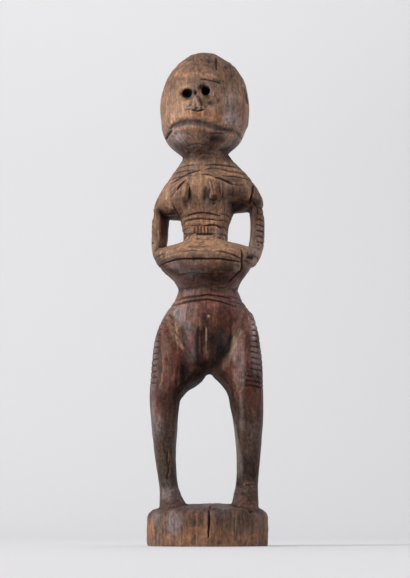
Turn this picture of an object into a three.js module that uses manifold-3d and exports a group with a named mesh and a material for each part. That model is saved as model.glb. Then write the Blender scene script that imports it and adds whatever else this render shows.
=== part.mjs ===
// A standing figure carved from one block of wood together with its round base.
// Millimetres, +Z up, the face looks along -Y. The origin is the centre of the underside.

import * as THREE from 'three';
import { mergeVertices } from 'three/addons/utils/BufferGeometryUtils.js';
import Module from 'manifold-3d';

const wasm = await Module();
wasm.setup();

// Driving dimensions

const BASE = {
  radius: 34.6, wall: 16, shoulder: 20.4, height: 24, topRadius: 30.6, edge: 1.0, outOfRound: 0.35,
};
const CRACK = { x: 0.8, length: 24, width: 0.9, depth: 5 };

const FACE_TURN = THREE.MathUtils.degToRad(11);
const HEAD_CENTRE = { x: -1.5, y: -0.5 };
const EYE = { z: 260.2, apart: 10.7, depth: 7, left: [4.0, 3.3], right: [3.4, 4.4] };
const NOSE = { top: 257, bottom: 246.6, width: 6.6, reach: 3.4 };
const BROW = { z: 267, proud: 1.1, reach: 55 };
const MOUTH = { z: 241.2, depth: 1.5, width: 2.6, reach: 80, jawInset: 0.9 };
const EAR = { bottom: 245, top: 264, proud: 0.5, width: 7, groove: { length: 18, width: 1.7, depth: 1.1 } };

const WAIST_GROOVES = { heights: [136.8, 140], depth: 1.0, width: 1.7 };
const TORSO_GROOVES = { heights: [177.2, 181.6, 185.6, 189], depth: 0.9, width: 1.7 };
const COLLAR_GROOVES = { heights: [211.8, 215.6, 219.4], depth: 0.9, width: 1.7 };
const BELLY_GROOVES = { heights: [160.2, 165], depth: 1.3, width: 1.9 };
const BELLY_DROP = 4.5;
const SHOULDER_UNDERSIDE = { top: 201, leftRise: 0, rightRise: 5.0, backRise: 0.16 };

// Every level line of the upper body rises a little towards the front.
const FRONT_RISE = { slope: 0.12, from: 90, full: 135 };

// The notches lie this many degrees from the sides of a limb towards its front.
const THIGH_NOTCHES = {
  bottom: 89, top: 129, pitch: 3.15, turn: { left: 38, right: 50 }, length: 11, width: 1.7, depth: 1.1,
};
const ARM_NOTCHES = {
  bottom: 174, top: 194, pitch: 3.3, turn: { left: 25, right: 42 }, length: 9, width: 1.9, depth: 1.0,
};
const BAND_STITCHES = { x: -6, count: 6, pitch: 1.5, length: 3.4, width: 1.0, depth: 0.7 };
const ELBOW_CUT = { x: 19.6, y: -28.4, z: 155, length: 15, width: 1.7, depth: 1.6 };

const BREASTS = [
  { x: -12.9, top: 211, tip: 196.4, radius: 3.1, reach: 5.6 },
  { x: 4.6, top: 211, tip: 196.6, radius: 4.0, reach: 5.8 },
];

// Sections of each part from the ground up: height, then where its left, right, front and back
// sides lie, then how square the section is (2 is an ellipse).

const FIELDS = ['left', 'right', 'front', 'back', 'square'];

const LEG_SECTIONS = {
  left: [
    [18, -27.0, -11.4, -20.0, 9.0, 2.8],
    [23.5, -27.1, -11.8, -19.6, 9.0, 2.8],
    [28, -27.2, -14.4, -14.5, 8.0, 2.5],
    [33, -27.5, -16.3, -10.5, 6.5, 2.4],
    [43, -29.2, -17.8, -11.0, 8.0, 2.6],
    [56, -30.6, -17.6, -14.5, 9.0, 2.6],
    [68, -32.1, -16.7, -18.5, 7.0, 2.6],
    [79, -32.8, -15.8, -20.0, 9.0, 2.5],
    [86, -33.0, -13.6, -20.0, 12.0, 2.5],
    [92, -32.9, -4.6, -20.0, 14.0, 2.5],
    [98, -32.7, 0.6, -19.5, 15.0, 2.5],
    [105, -32.1, -4.0, -19.0, 15.0, 2.4],
    [113, -31.1, -10.5, -18.0, 13.0, 2.3],
    [123, -28.8, -16.5, -15.5, 10.0, 2.2],
    [133, -23.8, -18.9, -11.5, 6.0, 2.0],
  ],
  right: [
    [18, 14.6, 29.0, -20.5, 9.0, 2.8],
    [23.5, 14.6, 29.0, -20.0, 9.0, 2.8],
    [28, 15.0, 28.9, -14.5, 8.0, 2.5],
    [33, 16.1, 29.0, -10.5, 6.5, 2.4],
    [43, 16.6, 30.0, -11.5, 8.0, 2.6],
    [56, 16.3, 31.1, -15.0, 9.0, 2.6],
    [68, 14.9, 32.0, -19.0, 7.0, 2.6],
    [79, 13.0, 32.4, -20.5, 9.0, 2.5],
    [86, 11.9, 32.6, -20.5, 12.0, 2.5],
    [92, 7.8, 32.6, -20.5, 14.0, 2.5],
    [98, 1.6, 32.5, -20.0, 15.0, 2.5],
    [105, 5.2, 32.1, -19.5, 15.0, 2.4],
    [113, 11.5, 31.1, -18.5, 13.0, 2.3],
    [123, 17.5, 29.6, -16.0, 10.0, 2.2],
    [133, 20.1, 26.8, -11.5, 6.0, 2.0],
  ],
};

const PELVIS_SECTIONS = [
  [98, -20.6, 20.6, -12.5, 12.0, 2.2],
  [103, -27.8, 27.8, -15.5, 18.5, 2.2],
  [109, -30.7, 30.9, -16.5, 22.0, 2.2],
  [116, -30.5, 30.9, -17.0, 22.5, 2.2],
  [123, -29.3, 29.9, -17.2, 20.5, 2.3],
  [129, -26.8, 27.8, -17.2, 18.0, 2.3],
  [135, -23.5, 25.1, -16.8, 15.5, 2.3],
  [141, -19.5, 20.8, -16.0, 14.0, 2.3],
  [146, -16.9, 18.3, -15.2, 13.5, 2.3],
  [151, -17.3, 18.7, -15.8, 13.5, 2.3],
  [157, -18.5, 19.2, -16.0, 14.0, 2.3],
];

const BELLY_SECTIONS = [
  [145, -16.0, 17.2, -14.5, 13.0, 2.3],
  [150, -17.8, 19.0, -20.0, 14.5, 2.3],
  [153, -20.2, 21.1, -28.0, 16.0, 2.3],
  [156, -23.8, 23.5, -32.0, 17.0, 2.3],
  [159, -27.6, 26.0, -34.0, 18.0, 2.3],
  [163, -29.2, 28.1, -34.0, 18.0, 2.3],
  [166, -31.2, 30.8, -31.5, 17.0, 2.4],
  [169, -32.1, 32.4, -27.0, 16.0, 2.4],
  [171.5, -29.6, 30.0, -22.0, 15.0, 2.4],
  [174, -16.8, 14.8, -17.5, 14.0, 2.6],
  [179, -13.5, 11.9, -14.0, 12.5, 2.8],
];

const TORSO_SECTIONS = [
  [169, -14.1, 12.3, -14.8, 13.0, 3.2],
  [179, -13.9, 12.4, -14.6, 13.0, 3.2],
  [187, -15.4, 13.4, -15.2, 13.0, 3.2],
  [195, -17.4, 16.4, -16.2, 13.0, 3.0],
  [204, -20.2, 19.2, -17.0, 13.0, 2.8],
];

const CHEST_SECTIONS = [
  [190, -29.4, 30.4, -10.5, 10.5, 2.6],
  [192, -31.7, 32.8, -12.6, 12.5, 2.6],
  [196, -32.3, 34.2, -15.0, 13.5, 2.6],
  [201, -30.7, 33.8, -16.8, 14.0, 2.6],
  [206, -28.1, 31.8, -17.4, 14.0, 2.5],
  [211, -25.3, 28.8, -17.0, 14.0, 2.4],
  [216, -22.0, 25.3, -16.0, 13.5, 2.3],
  [221, -18.7, 20.9, -14.8, 13.0, 2.2],
  [225, -15.7, 16.9, -13.6, 12.5, 2.1],
  [229, -14.4, 13.6, -12.8, 12.0, 2.1],
  [235, -15.5, 13.4, -13.0, 12.5, 2.1],
];

const ARM_SECTIONS = {
  left: [
    [162, -28.8, -24.0, -6.5, 5.0, 2.4],
    [167, -31.6, -23.8, -8.4, 6.4, 2.6],
    [173, -33.0, -23.4, -8.8, 7.0, 3.0],
    [183, -33.0, -22.6, -9.0, 7.2, 3.0],
    [190, -32.5, -22.3, -9.6, 8.2, 2.6],
    [196, -30.4, -21.6, -9.6, 8.6, 2.2],
    [201, -27.6, -20.6, -8.0, 7.6, 2.0],
  ],
  right: [
    [162, 23.8, 28.6, -6.5, 5.0, 2.4],
    [167, 24.3, 31.8, -8.6, 6.6, 2.6],
    [173, 24.7, 33.7, -9.0, 7.5, 3.0],
    [183, 25.6, 34.3, -9.0, 7.7, 3.0],
    [190, 25.6, 34.3, -9.8, 8.6, 2.6],
    [197, 25.0, 33.0, -10.0, 9.0, 2.2],
    [202, 23.6, 30.6, -8.4, 8.0, 2.0],
  ],
};

const HEAD_SECTIONS = [
  [225, -9.7, 8.7, -10.5, 10.0, 2.0],
  [228, -12.2, 10.0, -16.0, 13.0, 2.0],
  [231, -14.4, 10.8, -20.6, 15.0, 2.1],
  [235, -19.4, 15.2, -23.8, 17.6, 2.2],
  [240, -24.4, 20.4, -26.0, 20.5, 2.3],
  [246, -27.3, 23.5, -26.8, 22.8, 2.3],
  [253, -28.3, 25.3, -27.0, 24.6, 2.3],
  [260, -28.7, 26.0, -26.4, 25.4, 2.3],
  [267, -27.9, 25.4, -25.4, 25.2, 2.2],
  [274, -26.2, 23.9, -23.6, 23.8, 2.2],
  [280, -23.5, 21.0, -21.0, 21.4, 2.1],
  [285.4, -19.4, 16.8, -17.2, 18.2, 2.1],
  [289.8, -14.5, 11.2, -13.2, 14.2, 2.0],
  [292.9, -9.8, 4.8, -9.6, 10.8, 2.0],
  [294.6, -6.0, 1.0, -6.2, 7.4, 2.0],
];

// Solids and booleans

function solid(geometry) {
  const bare = geometry.clone();
  bare.deleteAttribute('normal');
  bare.deleteAttribute('uv');
  const merged = mergeVertices(bare, 1e-4);
  return new wasm.Manifold(new wasm.Mesh({
    numProp: 3,
    vertProperties: new Float32Array(merged.attributes.position.array),
    triVerts: new Uint32Array(merged.index.array),
  }));
}

function geometryOf(manifold) {
  const mesh = manifold.getMesh();
  const geometry = new THREE.BufferGeometry();
  const positions = new THREE.BufferAttribute(new Float32Array(mesh.vertProperties), 3);
  for (let i = 0; i < positions.count; i += 1) {
    const share = THREE.MathUtils.smoothstep(positions.getZ(i), FRONT_RISE.from, FRONT_RISE.full);
    positions.setZ(i, positions.getZ(i) - FRONT_RISE.slope * share * positions.getY(i));
  }
  geometry.setAttribute('position', positions);
  geometry.setIndex(new THREE.BufferAttribute(new Uint32Array(mesh.triVerts), 1));
  geometry.computeVertexNormals();
  return geometry;
}

function placed(geometry, position, rotation = [0, 0, 0]) {
  const matrix = new THREE.Matrix4().makeRotationFromEuler(new THREE.Euler(...rotation, 'ZYX'));
  matrix.setPosition(...position);
  return geometry.applyMatrix4(matrix);
}

// The heights of a loft's rows: even steps, with three rows close together at each groove.
function rowHeights(low, high, step, grooves) {
  const close = grooves ? grooves.width / 2 : 0;
  const lines = grooves ? grooves.heights : [];
  const count = Math.ceil((high - low) / step);
  const even = Array.from({ length: count + 1 }, (_, i) => low + ((high - low) * i) / count);
  const clear = even.filter((z) => lines.every((line) => Math.abs(z - line) > close * 1.6));
  return [...clear, ...lines.flatMap((line) => [line - close, line, line + close])].sort((a, b) => a - b);
}

// The point of a part's level section in a direction, drawn in by an inset.
function sectionAt(sections) {
  const curve = new THREE.CubicInterpolant(
    sections.map((row) => row[0]), sections.flatMap((row) => row.slice(1)), FIELDS.length);
  return (z, angle, inset, reach = 1) => {
    const [left, right, front, back, square] = curve.evaluate(z);
    const round = (value) => Math.sign(value) * Math.abs(value) ** (2 / square);
    return new THREE.Vector3(
      (left + right) / 2 + reach * ((right - left) / 2 - inset) * round(Math.cos(angle)),
      (front + back) / 2 + reach * ((back - front) / 2 - inset) * round(Math.sin(angle)),
      z);
  };
}

// A closed body whose level sections run smoothly through the given ones. The shape function may
// then move each point; it gets the point and its direction round the section.
function loft(sections, { sides, step, grooves = null, extraRows = [], shape = () => {} }) {
  const section = sectionAt(sections);
  const low = sections[0][0];
  const high = sections.at(-1)[0];
  const heights = [...rowHeights(low, high, step, grooves), ...extraRows].sort((a, b) => a - b);
  const body = new THREE.CylinderGeometry(1, 1, 1, sides, heights.length - 1);
  const points = body.attributes.position;
  for (let i = 0; i < points.count; i += 1) {
    const z = heights[Math.round((points.getY(i) + 0.5) * (heights.length - 1))];
    const inset = grooves && grooves.heights.includes(z) ? grooves.depth : 0;
    const angle = Math.atan2(-points.getZ(i), points.getX(i));
    const reach = Math.hypot(points.getX(i), points.getZ(i)) > 0.5 ? 1 : 0;
    const point = section(z, angle, inset, reach);
    shape(point, angle, reach);
    points.setXYZ(i, point.x, point.y, point.z);
  }
  return solid(body);
}

// How much of the front a direction faces: 1 straight ahead, 0 from the sides back.
const frontness = (angle) => Math.max(0, -Math.sin(angle));

// A point of a loft's surface, the way into the wood there and the level way along it.
function surfaceAt(sections, z, angle) {
  const section = sectionAt(sections);
  const point = section(z, angle, 0);
  const along = section(z, angle + 0.01, 0).sub(section(z, angle - 0.01, 0)).normalize();
  return { point, inward: new THREE.Vector3(-along.y, along.x, 0), along };
}

const UPWARD = new THREE.Vector3(0, 0, 1);
const BACKWARD = new THREE.Vector3(0, 1, 0);

// A V-shaped cut with its keel at a depth below the point given, as a chisel leaves it. The wedge
// that makes it is CUTTER_RISE times as tall as the cut is deep, so it clears what stands proud.
const CUTTER_RISE = 4;

function chiselCut(at, inward, along, { length, width, depth }) {
  const cut = new THREE.CylinderGeometry(1, 1, length, 3, 1, false, Math.PI / 2);
  cut.rotateZ(Math.PI / 2);
  const keel = (CUTTER_RISE * depth) / 1.5;
  cut.scale(1, keel, (CUTTER_RISE * width) / Math.sqrt(3));
  const across = new THREE.Vector3().crossVectors(along, inward);
  const matrix = new THREE.Matrix4().makeBasis(along, inward, across);
  matrix.setPosition(at.clone().addScaledVector(inward, depth - keel));
  return solid(cut.applyMatrix4(matrix));
}

// The base

function base() {
  const corner = BASE.radius - BASE.edge;
  const profile = new THREE.Path();
  profile.moveTo(0, 0);
  profile.lineTo(corner, 0);
  profile.lineTo(BASE.radius, BASE.edge);
  profile.lineTo(BASE.radius, BASE.wall);
  profile.quadraticCurveTo(BASE.radius - 0.6, BASE.wall + 3, BASE.topRadius, BASE.shoulder);
  profile.quadraticCurveTo(BASE.topRadius / 2, BASE.height, 0, BASE.height);
  const disc = new THREE.LatheGeometry(profile.getPoints(2), 40);
  disc.rotateX(Math.PI / 2);
  const points = disc.attributes.position;
  for (let i = 0; i < points.count; i += 1) {
    const around = Math.atan2(points.getY(i), points.getX(i));
    const stretch = 1 + (BASE.outOfRound / BASE.radius) * Math.sin(3 * around + 1);
    points.setXYZ(i, points.getX(i) * stretch, points.getY(i) * stretch, points.getZ(i));
  }
  return solid(disc);
}

function crack() {
  const front = new THREE.Vector3(CRACK.x, -BASE.radius, BASE.height / 2);
  return chiselCut(front, BACKWARD, UPWARD, CRACK);
}

// The figure

function leg(side) {
  return loft(LEG_SECTIONS[side], { sides: 14, step: 5.2 });
}

function pelvis() {
  return loft(PELVIS_SECTIONS, { sides: 24, step: 5, grooves: WAIST_GROOVES });
}

// The joined forearms and hands ring the belly, lower in front than at the elbows.
function belly() {
  const low = BELLY_SECTIONS[0][0];
  const high = BELLY_SECTIONS.at(-1)[0];
  return loft(BELLY_SECTIONS, {
    sides: 30,
    step: 3.8,
    grooves: BELLY_GROOVES,
    shape: (point, angle) => {
      const inside = Math.min(1, (point.z - low) / 5, (high - point.z) / 10);
      point.z -= BELLY_DROP * Math.sqrt(frontness(angle)) * Math.max(0, inside);
    },
  });
}

function torso() {
  return loft(TORSO_SECTIONS, { sides: 20, step: 4, grooves: TORSO_GROOVES });
}

// The underside of the shoulders rises to the back, and is higher over the arm on the right.
function chest() {
  const low = CHEST_SECTIONS[0][0];
  const { top, leftRise, rightRise, backRise } = SHOULDER_UNDERSIDE;
  return loft(CHEST_SECTIONS, {
    sides: 26,
    step: 4.6,
    grooves: COLLAR_GROOVES,
    shape: (point) => {
      const share = Math.max(0, (top - point.z) / (top - low));
      const side = THREE.MathUtils.smoothstep(point.x, -20, 20);
      point.z += share * (THREE.MathUtils.lerp(leftRise, rightRise, side) + backRise * (point.y + 12));
    },
  });
}

// The inner face of the left arm slants, so that the arm is wider behind than in front.
const ARM_SLANT = { slope: 0.45, most: 5, outer: -33, inner: -22.4, from: 2 };

function arm(side) {
  const { slope, most, outer, inner, from } = ARM_SLANT;
  return loft(ARM_SECTIONS[side], {
    sides: 12,
    step: 6.5,
    shape: (point) => {
      const share = side === 'left' ? THREE.MathUtils.clamp((point.x - outer) / (inner - outer), 0, 1) : 0;
      point.x -= share * THREE.MathUtils.clamp(slope * (from - point.y), 0, most);
    },
  });
}

function breast({ x, top, tip, radius, reach }) {
  const cone = new THREE.CylinderGeometry(0.8, radius, top - tip, 8);
  cone.rotateX(Math.PI / 2);
  cone.scale(1, 1.1, 1);
  return solid(placed(cone, [x, -13.4 - reach / 2, (top + tip) / 2], [-0.22, 0, 0]));
}

// The head

const EAR_REACH = 25.9;

// A point on the face, from how far it lies beside the nose, in front of the neck and up.
function facePoint(beside, ahead, z) {
  return [
    HEAD_CENTRE.x + beside * Math.cos(FACE_TURN) - ahead * Math.sin(FACE_TURN),
    HEAD_CENTRE.y - beside * Math.sin(FACE_TURN) - ahead * Math.cos(FACE_TURN),
    z,
  ];
}

function head() {
  const faceDirection = -Math.PI / 2 - FACE_TURN;
  const top = HEAD_SECTIONS.at(-1)[0];
  return loft(HEAD_SECTIONS, {
    sides: 30,
    step: 3.8,
    extraRows: [MOUTH.z - MOUTH.width / 2, MOUTH.z, MOUTH.z + MOUTH.width / 2,
      BROW.z - 0.6, BROW.z + 0.6, top - 0.6],
    shape: (point, angle, reach) => {
      const away = Math.abs(THREE.MathUtils.euclideanModulo(angle - faceDirection + Math.PI, 2 * Math.PI)
        - Math.PI) * THREE.MathUtils.RAD2DEG;
      const mouthMask = THREE.MathUtils.smoothstep(-away, -MOUTH.reach, -MOUTH.reach + 15);
      const browMask = THREE.MathUtils.smoothstep(-away, -BROW.reach, -BROW.reach + 20);
      const inMouth = Math.abs(point.z - MOUTH.z) < 0.1 ? MOUTH.depth * mouthMask : 0;
      const jaw = point.z < MOUTH.z - 0.1 ? MOUTH.jawInset * mouthMask : 0;
      const underBrow = point.z < BROW.z && point.z > MOUTH.z ? 1 : 0;
      const face = BROW.proud * browMask * underBrow * Math.min(1, (point.z - MOUTH.z) / 18);
      const inset = reach * (inMouth + jaw + face);
      point.x -= inset * Math.cos(angle);
      point.y -= inset * Math.sin(angle);
    },
  });
}

function eye(side, [halfWidth, halfHeight]) {
  const hole = new THREE.CylinderGeometry(1, 0.6, EYE.depth * 2, 12);
  hole.scale(halfWidth, 1, halfHeight);
  const centre = facePoint((side * EYE.apart) / 2, 26, EYE.z);
  return solid(placed(hole, centre, [Math.PI, 0, -FACE_TURN]));
}

function nose() {
  const height = NOSE.top - NOSE.bottom;
  const wedge = new THREE.CylinderGeometry(0.25, 1, height, 3);
  wedge.rotateY(Math.PI);
  wedge.rotateX(Math.PI / 2);
  wedge.scale(NOSE.width / Math.sqrt(3), NOSE.reach, 1);
  const centre = facePoint(-0.2, 25.2, (NOSE.top + NOSE.bottom) / 2);
  return solid(placed(wedge, centre, [0, 0, -FACE_TURN]));
}

function ear(side) {
  const shell = new THREE.SphereGeometry(1, 8, 6);
  shell.scale(EAR.proud * 2, EAR.width / 2, (EAR.top - EAR.bottom) / 2);
  const centre = facePoint(side * EAR_REACH, -2, (EAR.top + EAR.bottom) / 2);
  return solid(placed(shell, centre, [0, 0, -FACE_TURN]));
}

function earGroove(side) {
  const forward = -Math.PI / 2 - FACE_TURN + side * THREE.MathUtils.degToRad(78);
  const { point, inward } = surfaceAt(HEAD_SECTIONS, (EAR.top + EAR.bottom) / 2, forward);
  return chiselCut(point, inward, UPWARD, EAR.groove);
}

// Notches and stitches

// Short cuts one above another across the outer side of a limb.
function notches(side, sections, row) {
  const turn = THREE.MathUtils.degToRad(row.turn[side]);
  const forward = side === 'left' ? turn - Math.PI : -turn;
  const tilt = side === 'left' ? 0.15 : -0.15;
  const cuts = [];
  for (let z = row.bottom; z <= row.top; z += row.pitch) {
    const { point, inward, along } = surfaceAt(sections, z, forward);
    cuts.push(chiselCut(point, inward, along.clone().setZ(tilt).normalize(), row));
  }
  return cuts;
}

function stitches() {
  const [above, below] = [TORSO_GROOVES.heights[1], TORSO_GROOVES.heights[0]];
  return Array.from({ length: BAND_STITCHES.count }, (_, i) => {
    const x = BAND_STITCHES.x + i * BAND_STITCHES.pitch;
    const at = new THREE.Vector3(x, TORSO_SECTIONS[1][3], (above + below) / 2);
    return chiselCut(at, BACKWARD, UPWARD, BAND_STITCHES);
  });
}

function elbowCut() {
  const inward = new THREE.Vector3(-0.5, 1, 0).normalize();
  return chiselCut(new THREE.Vector3(ELBOW_CUT.x, ELBOW_CUT.y, ELBOW_CUT.z), inward, UPWARD, ELBOW_CUT);
}

// The whole carving

function carving() {
  const bodies = [
    base(), leg('left'), leg('right'), pelvis(), belly(), torso(), chest(), arm('left'), arm('right'),
    head(), nose(), ear(-1), ear(1), ...BREASTS.map(breast),
  ];
  const cuts = [
    crack(), eye(-1, EYE.left), eye(1, EYE.right), earGroove(-1), earGroove(1), elbowCut(), ...stitches(),
    ...['left', 'right'].flatMap((side) => notches(side, LEG_SECTIONS[side], THIGH_NOTCHES)),
    ...['left', 'right'].flatMap((side) => notches(side, ARM_SECTIONS[side], ARM_NOTCHES)),
  ];
  const whole = bodies.reduce((sum, body) => sum.add(body));
  const cutOut = cuts.reduce((rest, cut) => rest.subtract(cut), whole);
  // A chip that the cuts free falls away.
  return cutOut.decompose().sort((a, b) => b.volume() - a.volume())[0];
}

const wood = new THREE.MeshStandardMaterial({ color: 0x7a5a48, roughness: 0.55, metalness: 0 });
const figure = new THREE.Mesh(geometryOf(carving()), wood);
figure.name = 'figure';

const model = new THREE.Group();
model.add(figure);

export default model;
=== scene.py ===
# A standing figure carved from one block of dark wood, worn and partly polished by handling.
# Everything is in metres with +Z up; the face looks along -Y. Carving sizes are in millimetres.

import math
from itertools import product

import bmesh
import bpy
import numpy as np
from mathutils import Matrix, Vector
from mathutils.bvhtree import BVHTree


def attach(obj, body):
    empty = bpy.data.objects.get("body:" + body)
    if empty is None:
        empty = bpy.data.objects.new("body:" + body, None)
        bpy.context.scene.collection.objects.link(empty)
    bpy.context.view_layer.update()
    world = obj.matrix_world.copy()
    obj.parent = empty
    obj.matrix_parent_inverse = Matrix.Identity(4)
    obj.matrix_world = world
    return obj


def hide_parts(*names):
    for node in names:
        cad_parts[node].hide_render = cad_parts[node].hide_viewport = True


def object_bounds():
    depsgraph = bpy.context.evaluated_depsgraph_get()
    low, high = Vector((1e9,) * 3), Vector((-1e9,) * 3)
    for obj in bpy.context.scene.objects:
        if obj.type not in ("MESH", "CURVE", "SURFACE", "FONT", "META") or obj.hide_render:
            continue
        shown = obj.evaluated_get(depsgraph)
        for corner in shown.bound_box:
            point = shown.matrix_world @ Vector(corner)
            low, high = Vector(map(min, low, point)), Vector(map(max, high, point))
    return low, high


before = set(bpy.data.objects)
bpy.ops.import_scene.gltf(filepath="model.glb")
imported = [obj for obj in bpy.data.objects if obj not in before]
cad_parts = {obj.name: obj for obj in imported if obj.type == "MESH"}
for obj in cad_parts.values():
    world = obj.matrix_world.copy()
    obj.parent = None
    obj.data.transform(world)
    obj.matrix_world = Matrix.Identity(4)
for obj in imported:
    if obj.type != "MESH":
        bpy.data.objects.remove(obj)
cad_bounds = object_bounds()

MM = 0.001

# Camera: close to the floor in front of the base and tilted up, as the photograph was taken

FRAME_WIDTH, FRAME_HEIGHT = 410, 578
SENSOR_MM = 36
CAMERA_AT = Vector((-0.0012, -0.7, 0.007))
CAMERA_TILT = math.radians(11.44)
FOCAL_PIXELS = 1208
RIGHT = Vector((1, 0, 0))
UP = Vector((0, -math.sin(CAMERA_TILT), math.cos(CAMERA_TILT)))
FORWARD = Vector((0, math.cos(CAMERA_TILT), math.sin(CAMERA_TILT)))

# Floor and lights: each softbox's place, the point that it faces, size, watts and colour

PAPER_COLOUR, PAPER_ROUGHNESS = (0.78, 0.78, 0.79, 1), 0.9
SKY_COLOUR, SKY_STRENGTH = (0.97, 0.96, 1.0, 1), 0.5
MIDDLE = (0, 0, 0.16)
SOFTBOXES = {
    "key_left": ((-1.7, -1.0, 0.95), MIDDLE, (1.0, 1.2), 38, (1, 0.98, 0.95)),
    "fill_right": ((1.0, -0.35, 0.5), MIDDLE, (0.5, 0.9), 1.5, (0.92, 0.95, 1)),
    "backdrop": ((0, 0.9, 2.1), (0, 1.8, 0.8), (2.4, 0.4), 8, (1, 1, 1)),
}

# Fineness of the carved mesh, and how near the floor a point is flattened onto it

VOXEL_MM = 0.5
MOST_TRIANGLES = 192_000
SMOOTHING_PASSES = 18
SOFT_PASSES = 60
ON_FLOOR_MM = 0.3

# Strips where the solid keeps its crisp cuts: the height from and to, which way the outside faces in
# degrees from the front to the right, and how much. Then how far a strip goes to each side of that,
# and how far out it begins.
KEPT_STRIPS = [(87, 131, 40, 1.9), (87, 131, -52, 0.8), (172, 197, 48, 1.5), (172, 197, -65, 1.5)]
STRIP_DEGREES, STRIP_FROM_MM = 36, 22
# The same in pixels of the frame: place, half width and half height, how much is kept
KEPT_SPOTS = [(198, 98, 22, 13, 0.9), (202, 230, 10, 4, 0.7)]
# Junctions worn to a soft run: pixel, half width and half height, how much
SOFT_SPOTS = [
    (203, 153, 36, 9, 1), (200, 322, 44, 16, 0.7), (168, 247, 20, 6, 0.6), (243, 247, 20, 6, 0.6),
    (165, 500, 20, 6, 0.8), (244, 500, 20, 6, 0.8), (201, 205, 22, 5, 0.5), (203, 240, 26, 5, 1),
    (208, 287, 34, 5, 0.9), (168, 316, 9, 7, 1), (243, 314, 11, 7, 1),
    (178, 336, 11, 18, 1), (188, 356, 11, 16, 1), (236, 336, 10, 18, 1), (229, 356, 10, 16, 1),
]

# Grooves round the body, cut crisp: heights in mm, width and depth, how far out the body reaches
# and how far they fade towards the front
RING_GROOVES = {
    "waist": ((136.8, 140), 1.3, 0.55, 99, 1),
    "torso": ((177.2, 181.6, 185.6, 189), 1.3, 0.5, 19, 1),
    "collar": ((211.8, 215.6, 219.4), 1.5, 0.75, 99, 0.85),
    "belly": ((160.2, 165), 1.5, 0.5, 99, 1),
}
# The body's level lines rise to the front, by so much for each mm and fully above the second height.
# The belly's grooves dip at its front. Seen from above, it is an ellipse.
FRONT_RISE, RISE_BETWEEN_MM = 0.12, (90, 135)
BELLY_DROP_MM, BELLY_HALF_WIDTH_MM, BELLY_MIDDLE_Y_MM, BELLY_HALF_DEPTH_MM = 4.5, 28, -8, 26

# The crown is worn down above this height, by this share
CROWN_FROM_MM, CROWN_WORN = 292, 0.4

# The point of the legs' fork, in mm: across, up, half width, half height and how far it is cut
FORK_PEAK = (1.4, 96.5, 3.2, 6, 1.3)

# The round of the base is hewn in upright flats: where their edges lie, in degrees from the front to
# the right
BASE_EDGES = (-180, -156, -133, -111, -88, -62, -44, -24, 2, 29, 53, 74, 89, 112, 134, 158, 180)
BASE_RADIUS_MM, BASE_TOP_MM = 34.6, 21

# Knife work: shallow hollows of these radii, level and upright, where the form bulges by so much
KNIFE_CUTS, KNIFE_SEED = 900, 7
KNIFE_DEPTH_MM = (0.05, 0.2)
KNIFE_RADII_MM = (32, 160)
KNIFE_REACH_MM = 8
KNIFE_BULGE_MM = -0.02
FLAT_RADII_MM = (90, 300)

# How far the whole surface strays, and the height below which the carving fades to the flat underside
WANDER_MM = 0.3
FLAT_BELOW_MM = 1.2

# The base and the crown are dry: the heights between which that ends and begins
DRY_BASE_MM, DRY_CROWN_MM, CROWN_DRYNESS = (18, 30), (262, 284), 0.8

# Lines: the step between their points, the share of the width that their ends have, the share of
# the length over which they narrow, and how cuts deepen to their middle, where 1 is a sharp V
LINE_STEP_MM, LINE_END, LINE_FADE, CUT_DEEPENS = 0.35, 0.45, 0.18, 0.8

# Lines cut with a knife on the front: width and depth in mm, then the way that each line takes,
# in pixels of the 410 x 578 frame. They are cast from the camera onto the solid. Some end with the
# dark paint along them, the dirt and painted shade in the cut: its width in pixels, colour and strength.

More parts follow.
